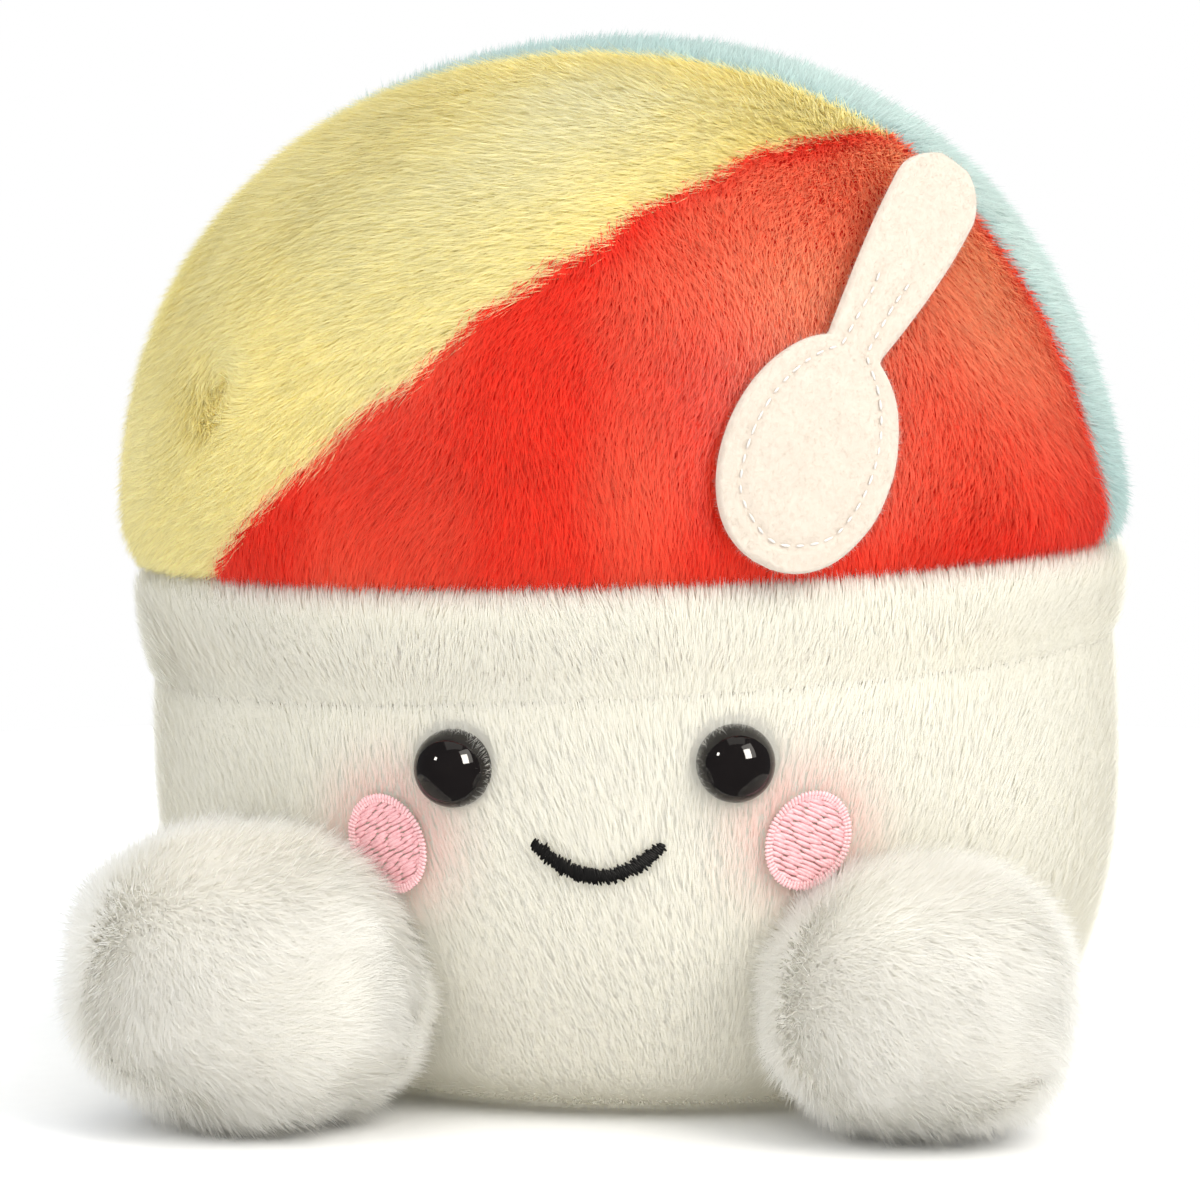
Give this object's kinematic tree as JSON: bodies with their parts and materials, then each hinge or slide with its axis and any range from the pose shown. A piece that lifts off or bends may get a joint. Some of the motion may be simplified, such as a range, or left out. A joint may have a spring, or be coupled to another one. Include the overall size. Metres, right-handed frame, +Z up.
{
  "type": "kakigori plush toy",
  "caption": "Stuffed toy of shaved ice in a white cup, with a stitched face, bead eyes, round feet and a felt spoon.",
  "frame": {"origin": "centre of the cup's flat base, on the floor that the toy stands on", "axes": "+Z up, -Y the way the face looks, +X to the right of someone who looks at the face"},
  "size_m": [0.1172, 0.1205, 0.1169],
  "materials": {
    "cup_plush": "short dense ivory pile",
    "foot_plush": "longer fluffy white pile",
    "red_plush": "short red-orange pile",
    "yellow_plush": "short butter-yellow pile",
    "blue_plush": "short pale blue pile",
    "felt": "cream felt with white stitches",
    "bead": "glossy black",
    "black_thread": "satin stitch",
    "pink_thread": "satin stitch"
  },
  "bodies": {
    "root": {"cup_body": "cup_plush", "cup_rim": "cup_plush", "ice_red": "red_plush", "ice_yellow": "yellow_plush", "ice_blue": "blue_plush", "foot_left": "foot_plush", "foot_right": "foot_plush", "spoon": "felt", "eye_left": "bead", "eye_right": "bead", "smile": "black_thread", "cheek_left": "pink_thread", "cheek_right": "pink_thread"}
  },
  "joints": []
}
